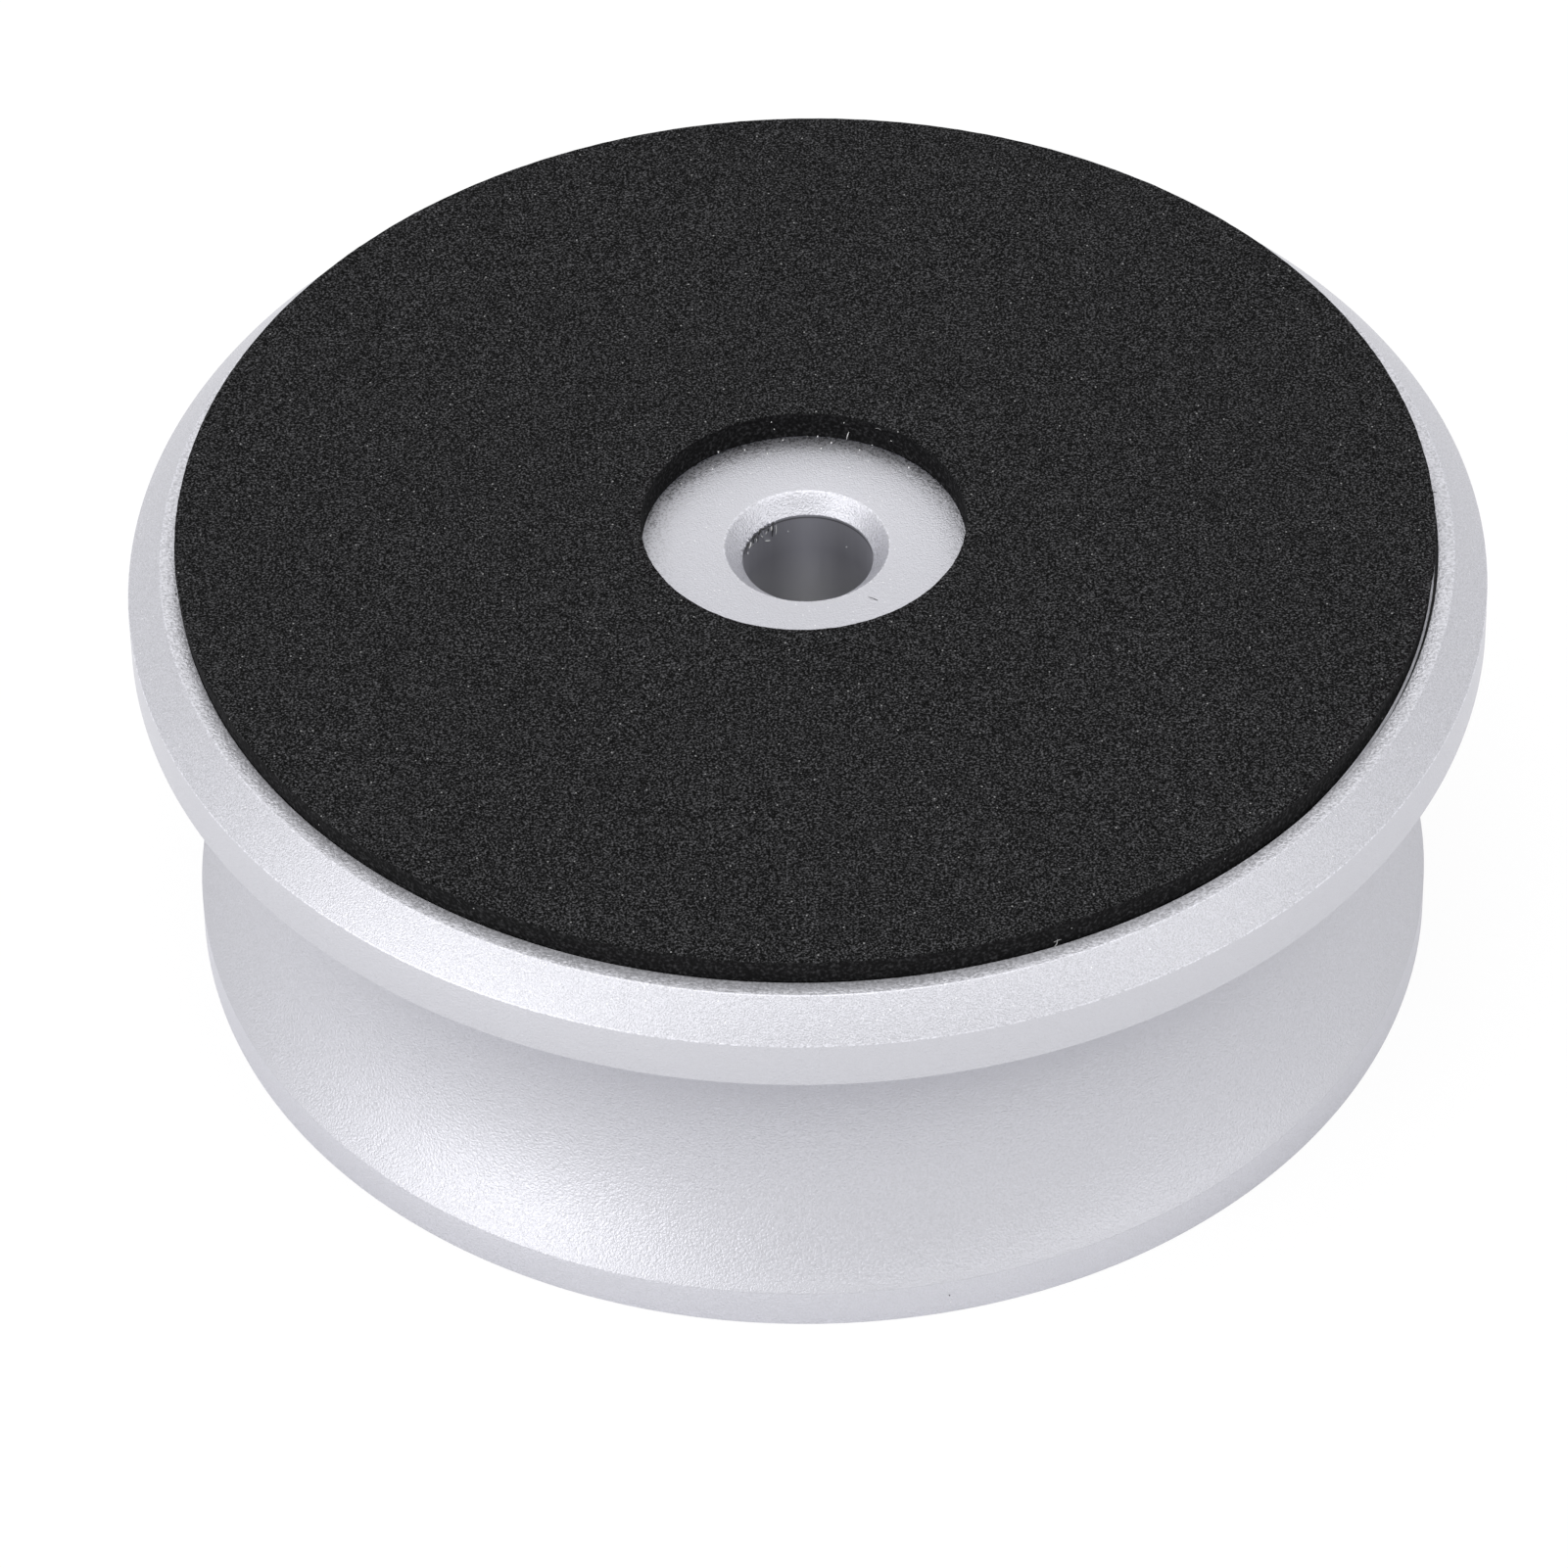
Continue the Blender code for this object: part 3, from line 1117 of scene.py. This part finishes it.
@dataclass
class FoamRing(Ring):
    """The foam pad: die-cut, so that its walls are a little hollow and its edges ragged.

    Its outer wall leans outwards, mostly at the left, and its foot is pinched in at the
    right, over a span of bearings.
    """

    inner: float = 9.07
    outer: float = 35.06
    bottom: float = 26.24
    top: float = 27.99
    shift: float = -0.02
    hole_shift: float = -0.15
    hole_squeeze: float = 0.992
    flare: float = 0.07
    wall_hollow: float = 0.05
    pinch: float = 0.15
    pinch_span: tuple[float, float, float] = (62.0, 96.0, 16.0)
    raggedness: tuple[float, float] = (0.022, 0.014)
    swelling: tuple[float, float] = (0.010, 0.006)
    wall_reach: tuple[float, float] = (0.05, 0.3)
    edge: float = 0.09
    edge_steps: int = 3
    steps: int = 512
    face_cuts: int = 40
    wall_cuts: int = 9

    def section(self, shape: bmesh.types.BMesh) -> None:
        """Draws the section, with its upper edges rounded and its runs divided.

        Args:
            shape: The empty mesh that gets it.
        """
        corners = self.draw(shape)
        round_corners(shape, corners[2:], self.edge, self.edge_steps)
        edges = shape.edges[:]
        face = [e for e in edges if all(v.co.z > self.top - 1e-4 for v in e.verts)]
        walls = [e for e in edges if abs(e.verts[0].co.z - e.verts[1].co.z) > 1]
        bmesh.ops.subdivide_edges(shape, edges=face, cuts=self.face_cuts)
        bmesh.ops.subdivide_edges(shape, edges=walls, cuts=self.wall_cuts)

    def work(self, vert: bmesh.types.BMVert) -> None:
        """Moves one point for the cut walls' hollow, the ragged edges and the soft face.

        Args:
            vert: A vertex of the turned ring.
        """
        radius = math.hypot(vert.co.x, vert.co.y)
        bearing = bearing_of(vert.co)
        rise = (vert.co.z - self.bottom) / (self.top - self.bottom)
        out = Vector((vert.co.x, vert.co.y, 0)) / radius
        near, far = self.wall_reach
        on_outer = ramp(radius, self.outer - far, self.outer - near)
        on_inner = 1 - ramp(radius, self.inner + near, self.inner + far)
        side = on_outer - on_inner
        hollow = self.wall_hollow * math.sin(math.pi * rise)
        ragged = self.raggedness[0] * noise.noise(vert.co * 2.2)
        ragged += self.raggedness[1] * noise.noise(vert.co * 6.0)
        upper = ramp(rise, 0.45, 0.95)
        drawn_in = 0.0
        if on_outer:
            drawn_in = self.pinch * (1 - upper) * window(bearing, *self.pinch_span)
            lean = 1 - math.sin(math.radians(bearing))
            drawn_in -= self.flare * lean * ramp(rise, 0.12, 0.5)
        vert.co += out * (side * (-hollow - drawn_in) + (on_outer + on_inner) * upper * ragged)
        if rise > 0.9:
            swell = self.swelling[0] * noise.noise(vert.co * 0.12)
            swell += self.swelling[1] * noise.noise(vert.co * 1.3)
            vert.co.z += min(swell, self.top + 0.01 - vert.co.z)

    def build(self, face: bpy.types.Material, wall: bpy.types.Material) -> bpy.types.Object:
        """Makes the pad, with its cut walls smoother.

        Args:
            face: The material of its faces.
            wall: The material of its cut walls.

        Returns:
            The pad, standing for the plain foam solid.
        """
        shape = bmesh.new()
        self.section(shape)
        spin_section(shape, self.steps, False)
        for vert in shape.verts:
            self.work(vert)
            share = ramp(math.hypot(vert.co.x, vert.co.y), self.inner + 0.5, self.outer - 0.5)
            vert.co.x += self.hole_shift + (self.shift - self.hole_shift) * share
            vert.co.y *= self.hole_squeeze + (1 - self.hole_squeeze) * share
        shape.normal_update()
        for side in shape.faces:
            side.material_index = int(abs(side.normal.z) < 0.5)
        piece = finish_mesh(shape, "foam_ring", (face, wall))
        settle(piece, Slot.FOAM, "foam_pad")
        return piece


@dataclass(frozen=True)
class Strand:
    """One thin round strand: its thickness, and its course as (radius, bearing, height)."""

    thickness: float
    course: tuple[tuple[float, float, float], ...]
    end_thinning: float = 0.55
    sides: int = 8

    def draw(self, shape: bmesh.types.BMesh) -> None:
        """Adds rings along the course, bridged, with the ends closed.

        Args:
            shape: The mesh that gets them.
        """
        places = [around(*point) for point in self.course]
        rings = []
        for index, place in enumerate(places):
            before = places[max(index - 1, 0)]
            after = places[min(index + 1, len(places) - 1)]
            turned = (after - before).to_track_quat("Z", "X").to_matrix().to_4x4()
            at_end = index in (0, len(places) - 1)
            thin = self.end_thinning if at_end else 1.0
            made = bmesh.ops.create_circle(
                shape,
                cap_ends=at_end,
                segments=self.sides,
                radius=thin * self.thickness / 2,
                matrix=Matrix.Translation(place) @ turned,
            )
            rings.append({e for v in made["verts"] for e in v.link_edges})
        for first, second in zip(rings, rings[1:]):
            bmesh.ops.bridge_loops(shape, edges=list(first | second))


@dataclass(frozen=True)
class Speck:
    """One grain of dust or chip of foam, at a radius, bearing and height."""

    place: tuple[float, float, float]
    size: float
    unevenness: float = 0.6

    def draw(self, shape: bmesh.types.BMesh, index: int) -> None:
        """Adds an uneven grain.

        Args:
            shape: The mesh that gets it.
            index: Its place in its group, which makes it unlike the others.
        """
        place = around(*self.place)
        made = bmesh.ops.create_icosphere(
            shape, subdivisions=2, radius=self.size / 2, matrix=Matrix.Translation(place)
        )
        for vert in made["verts"]:
            seed = vert.co / self.size * 2.0 + Vector((index * 3.7, 0, 0))
            vert.co += (vert.co - place) * self.unevenness * noise.noise(seed)


@dataclass(frozen=True)
class LooseMatter:
    """The lint, dust and burr that the photograph shows on the weight."""

    pale_fibres: tuple[Strand, ...] = (
        Strand(
            0.06,
            (
                (35.05, 21.7, 26.86),
                (35.07, 21.66, 26.72),
                (35.10, 21.6, 26.58),
                (35.18, 21.35, 26.53),
                (35.28, 21.28, 26.53),
                (35.36, 21.3, 26.53),
            ),
        ),
        Strand(0.05, ((35.10, 22.0, 26.82), (35.13, 21.7, 26.86), (35.12, 21.3, 26.80))),
        Strand(
            0.03,
            (
                (8.96, 153.6, 27.60),
                (8.96, 152.8, 27.66),
                (8.96, 152.0, 27.66),
                (8.96, 151.3, 27.60),
            ),
        ),
    )
    white_fibre: tuple[Strand, ...] = (
        Strand(
            0.05,
            (
                (8.93, 164.6, 26.30),
                (8.93, 164.4, 26.50),
                (8.94, 164.1, 26.70),
                (8.94, 163.8, 26.87),
            ),
        ),
    )
    dark_fibres: tuple[Strand, ...] = (
        Strand(0.045, ((35.22, 94.7, 26.54), (35.34, 94.8, 26.53), (35.46, 94.7, 26.53))),
        Strand(
            0.028,
            (
                (5.60, 36.9, 26.16),
                (5.76, 37.8, 26.165),
                (5.92, 38.5, 26.165),
                (6.14, 39.2, 26.16),
            ),
        ),
    )
    burr_chips: tuple[Strand, ...] = (
        Strand(0.11, ((3.52, -117.5, 24.92), (3.50, -115.9, 24.77), (3.52, -113.7, 24.63))),
        Strand(0.11, ((3.53, -146.2, 24.88), (3.51, -145.9, 24.73), (3.53, -145.7, 24.59))),
        Strand(0.09, ((3.54, -127.0, 24.71), (3.52, -126.8, 24.58), (3.54, -126.6, 24.45))),
        Strand(0.07, ((3.54, -138.6, 24.05), (3.53, -141.5, 23.97), (3.54, -144.6, 23.86))),
        Strand(0.10, ((3.53, -141.0, 24.70), (3.53, -139.4, 24.56))),
        Strand(0.08, ((3.54, -112.2, 24.46), (3.54, -110.6, 24.36))),
        Strand(0.07, ((3.52, -133.5, 24.66), (3.51, -134.8, 24.56), (3.53, -135.4, 24.42))),
        Strand(0.06, ((3.53, -122.0, 24.60), (3.53, -121.4, 24.48))),
        Strand(0.06, ((3.53, -151.5, 24.82), (3.53, -151.0, 24.40), (3.54, -150.6, 24.10))),
    )
    # Near-black strands that paint the shade in the burr's notches
    burr_notch_shade: tuple[Strand, ...] = (
        Strand(0.10, ((3.55, -113.5, 25.06), (3.53, -111.5, 24.97), (3.55, -109.5, 24.88))),
        Strand(0.12, ((3.55, -133.0, 25.10), (3.53, -131.9, 24.97), (3.55, -130.7, 24.83))),
        Strand(0.09, ((3.55, -134.3, 25.06), (3.54, -137.0, 25.02), (3.55, -139.8, 24.98))),
        Strand(0.11, ((3.55, -147.8, 25.03), (3.55, -149.8, 25.04))),
        Strand(0.07, ((3.57, -148.3, 24.88), (3.56, -147.8, 24.48), (3.57, -147.3, 24.08))),
        Strand(0.07, ((3.55, -127.8, 24.98), (3.54, -126.0, 24.90), (3.55, -123.5, 24.86))),
        Strand(0.06, ((3.55, -122.8, 24.92), (3.54, -122.6, 24.66), (3.55, -122.2, 24.38))),
        Strand(0.05, ((3.55, -129.8, 24.84), (3.54, -129.6, 24.60), (3.55, -129.2, 24.34))),
        Strand(0.05, ((3.55, -142.8, 24.86), (3.54, -142.9, 24.70), (3.55, -142.3, 24.56))),
        Strand(0.06, ((3.55, -118.6, 24.90), (3.54, -118.4, 24.66), (3.55, -118.0, 24.50))),
    )
    pale_dust: tuple[Speck, ...] = (
        Speck((9.02, -147.2, 26.44), 0.11),
        Speck((8.97, 175.3, 26.27), 0.08),
        Speck((8.97, 179.0, 26.26), 0.06),
        Speck((8.96, 154.9, 26.27), 0.08),
        Speck((8.97, 149.5, 26.27), 0.06),
        Speck((8.97, -168.0, 27.55), 0.06),
        Speck((3.64, -157.0, 23.1), 0.07),
        Speck((3.64, -161.0, 21.2), 0.05),
        Speck((3.52, -163.0, 24.1), 0.06),
        Speck((3.54, 141.0, 23.4), 0.05),
        Speck((3.98, -110.5, 25.5), 0.07),
        Speck((3.88, -106.5, 25.3), 0.06),
        Speck((8.86, -172.0, 26.18), 0.09),
        Speck((8.62, 170.0, 26.18), 0.10),
        Speck((8.05, 173.5, 26.18), 0.09),
        Speck((8.70, -157.0, 26.18), 0.08),
        Speck((7.95, -164.5, 26.18), 0.08),
        Speck((8.40, 158.5, 26.18), 0.09),
        Speck((7.70, 152.5, 26.18), 0.08),
        Speck((8.55, 137.0, 26.18), 0.10),
        Speck((8.30, -141.0, 26.18), 0.08),
        Speck((8.75, -127.0, 26.18), 0.08),
        Speck((8.95, -169.0, 27.0), 0.06),
        Speck((8.94, 147.0, 27.1), 0.06),
        Speck((8.94, 165.5, 27.5), 0.06),
        Speck((35.16, 11.7, 0.87), 0.06),
        Speck((36.08, 18.9, 26.51), 0.06),
    )
    dark_dust: tuple[Speck, ...] = (
        Speck((35.17, 11.6, 1.4), 0.07),
        Speck((35.26, -83.0, 27.2), 0.12),
    )

    def build(self, materials: dict[Tone, bpy.types.Material]) -> list[bpy.types.Object]:
        """Makes each group of strands and of specks.

        Args:
            materials: The material of each tone.

        Returns:
            The pieces.
        """
        made = []
        for name, tone, slot, strands in (
            ("pale_fibres", Tone.PALE, Slot.FOAM, self.pale_fibres),
            ("white_fibre", Tone.WHITE, Slot.FOAM, self.white_fibre),
            ("dark_fibres", Tone.DARK, Slot.FOAM, self.dark_fibres),
            ("burr_chips", Tone.CHIP, Slot.ALUMINIUM, self.burr_chips),
            # Painted shade in the burr's notches
            ("burr_notch_shade", Tone.DARK, Slot.ALUMINIUM, self.burr_notch_shade),
        ):
            shape = bmesh.new()
            for strand in strands:
                strand.draw(shape)
            bmesh.ops.recalc_face_normals(shape, faces=shape.faces[:])
            made.append(settle(finish_mesh(shape, name, (materials[tone],), 60), slot))
        for name, tone, specks in (
            ("pale_dust", Tone.WHITE, self.pale_dust),
            ("dark_dust", Tone.DARK, self.dark_dust),
        ):
            shape = bmesh.new()
            for index, speck in enumerate(specks):
                speck.draw(shape, index)
            made.append(settle(finish_mesh(shape, name, (materials[tone],), 60), Slot.FOAM))
        return made


# Photograph's view and the studio


@dataclass(frozen=True)
class ViewCamera:
    """The camera, from a fit to the edges of the object in the photograph.

    It stands in front and looks at the axis at the target height, which shows at the target
    pixel. Focal_px is the lens in pixels of the square frame, and the roll is in degrees.
    """

    elevation: float = 42.07
    distance: float = 524.8
    focal_px: float = 9591.07
    frame_px: float = 1601.0
    target_px: tuple[float, float] = (823.705, 555.621)
    roll: float = -1.086
    target_height: float = 26.15
    sensor: float = 36.0
    clip: tuple[float, float] = (0.01, 50.0)

    def build(self) -> bpy.types.Object:
        """Makes the scene's camera.

        Returns:
            The camera.
        """
        tilt = math.radians(self.elevation)
        ahead = Vector((0, math.cos(tilt), -math.sin(tilt)))
        right = Vector((1, 0, 0))
        above = right.cross(ahead)
        looking = Matrix((right, -above, ahead))
        aim_x, aim_y = ((px - self.frame_px / 2) / self.focal_px for px in self.target_px)
        across = math.atan2(aim_x, math.hypot(aim_y, 1.0))
        down = -math.atan2(aim_y, 1.0)
        turned = (
            Matrix.Rotation(down, 3, "X")
            @ Matrix.Rotation(across, 3, "Y")
            @ Matrix.Rotation(math.radians(self.roll), 3, "Z")
            @ looking
        )
        axes = Matrix((turned[0], -turned[1], -turned[2])).transposed()
        place = -ahead * self.distance + Vector((0, 0, self.target_height))
        data = bpy.data.cameras.new("view_camera")
        data.sensor_width = self.sensor
        data.lens = self.focal_px * self.sensor / self.frame_px
        data.clip_start, data.clip_end = self.clip
        camera = bpy.data.objects.new("view_camera", data)
        camera.matrix_world = Matrix.Translation(place * MM) @ axes.to_4x4()
        bpy.context.scene.collection.objects.link(camera)
        bpy.context.scene.camera = camera
        return camera


@dataclass(frozen=True)
class Softbox:
    """One round area lamp, aimed at the weight, with its size and distance in metres."""

    name: str
    bearing: float
    elevation: float
    power: float
    size: float = 0.5
    distance: float = 0.9

    def build(self) -> bpy.types.Object:
        """Makes the lamp.

        Returns:
            The lamp.
        """
        data = bpy.data.lights.new(self.name, "AREA")
        data.shape = "DISK"
        data.size = self.size
        data.energy = self.power
        lift = math.radians(self.elevation)
        reach = self.distance * math.cos(lift)
        place = around(reach, self.bearing, self.distance * math.sin(lift))
        lamp = bpy.data.objects.new(self.name, data)
        lamp.rotation_euler = place.to_track_quat("Z", "Y").to_euler()
        lamp.location = place
        bpy.context.scene.collection.objects.link(lamp)
        return lamp


@dataclass(frozen=True)
class Studio:
    """The white floor, the white surroundings and the soft lamps.

    Floor_glow and floor_mirrored are how much of the floor is plain white to the camera and
    in reflections. The rest of it takes the weight's shadow.
    """

    softboxes: tuple[Softbox, ...] = (
        Softbox("low_key", -52.0, 15.0, 1.85),
        Softbox("high_key", -62.0, 42.0, 0.85),
        Softbox("fill", 60.0, 34.0, 0.8),
        Softbox("front_top", 0.0, 70.0, 1.25),
        Softbox("back_top", -165.0, 70.0, 0.9),
    )
    ambient: float = 0.88
    floor_size: float = 6.0
    floor_grey: float = 0.98
    floor_roughness: float = 0.9
    floor_specular: float = 0.1
    floor_glow: float = 0.9
    floor_mirrored: float = 0.1

    def build_world(self) -> None:
        """Makes surroundings that look white, and light matt surfaces at a plain level."""
        world = bpy.data.worlds.new("studio")
        world.use_nodes = True
        bpy.context.scene.world = world
        wires = Wiring(world.node_tree)
        path = wires.add("LightPath").outputs
        shown = wires.math("MAXIMUM", path["Is Camera Ray"], path["Is Glossy Ray"])
        shown = wires.math("MAXIMUM", shown, path["Is Transmission Ray"])
        strength = wires.math("MULTIPLY_ADD", shown, 1.0 - self.ambient, self.ambient)
        ground = world.node_tree.nodes["Background"]
        ground.inputs["Color"].default_value = (1, 1, 1, 1)
        wires.feed(strength, ground, "Strength")

    def build_floor(self) -> bpy.types.Object:
        """Makes the floor, which shows white and keeps a soft shadow.

        Returns:
            The floor.
        """
        shape = bmesh.new()
        bmesh.ops.create_grid(shape, x_segments=1, y_segments=1, size=self.floor_size / 2 / MM)
        material, wires, shader = new_material("white_floor")
        path = wires.add("LightPath").outputs
        shader.inputs["Base Color"].default_value = shade(self.floor_grey)
        shader.inputs["Roughness"].default_value = self.floor_roughness
        shader.inputs["Specular IOR Level"].default_value = self.floor_specular
        glow = wires.add("Emission", {"Color": shade(1.0), "Strength": 1.0}).outputs[0]
        seen = wires.math("MULTIPLY", path["Is Camera Ray"], self.floor_glow)
        share = wires.math("MULTIPLY_ADD", path["Is Glossy Ray"], self.floor_mirrored, seen)
        mixed = wires.add("MixShader", {0: share, 1: shader.outputs[0], 2: glow})
        wires.feed(mixed.outputs[0], material.node_tree.nodes["Material Output"], "Surface")
        floor = finish_mesh(shape, "studio_floor", (material,))
        return floor

    def build(self) -> None:
        """Makes the floor, the world and the lamps."""
        self.build_world()
        self.build_floor()
        for softbox in self.softboxes:
            softbox.build()
        bpy.context.scene.view_settings.view_transform = "Standard"


def main() -> None:
    """Builds the camera, the studio and each piece, and reports them."""
    logging.basicConfig(level=logging.INFO, format="%(name)s: %(message)s")
    ViewCamera().build()
    Studio().build()
    groups = Groups.build()
    body = {zone: finish.build(groups) for zone, finish in BODY_FINISHES.items()}
    lint = {tone: Lint(*tone.value).build(groups) for tone in Tone}
    pieces = [
        TurnedBody().build(body),
        AdhesiveRing().build(AdhesiveTape().build(groups)),
        FoamRing().build(ClosedCellFoam().build(groups), CUT_FOAM.build(groups)),
        *LooseMatter().build(lint),
    ]
    for piece in pieces:
        log.info("%s: %d faces", piece.name, len(piece.data.polygons))


if __name__ == "__main__":
    main()
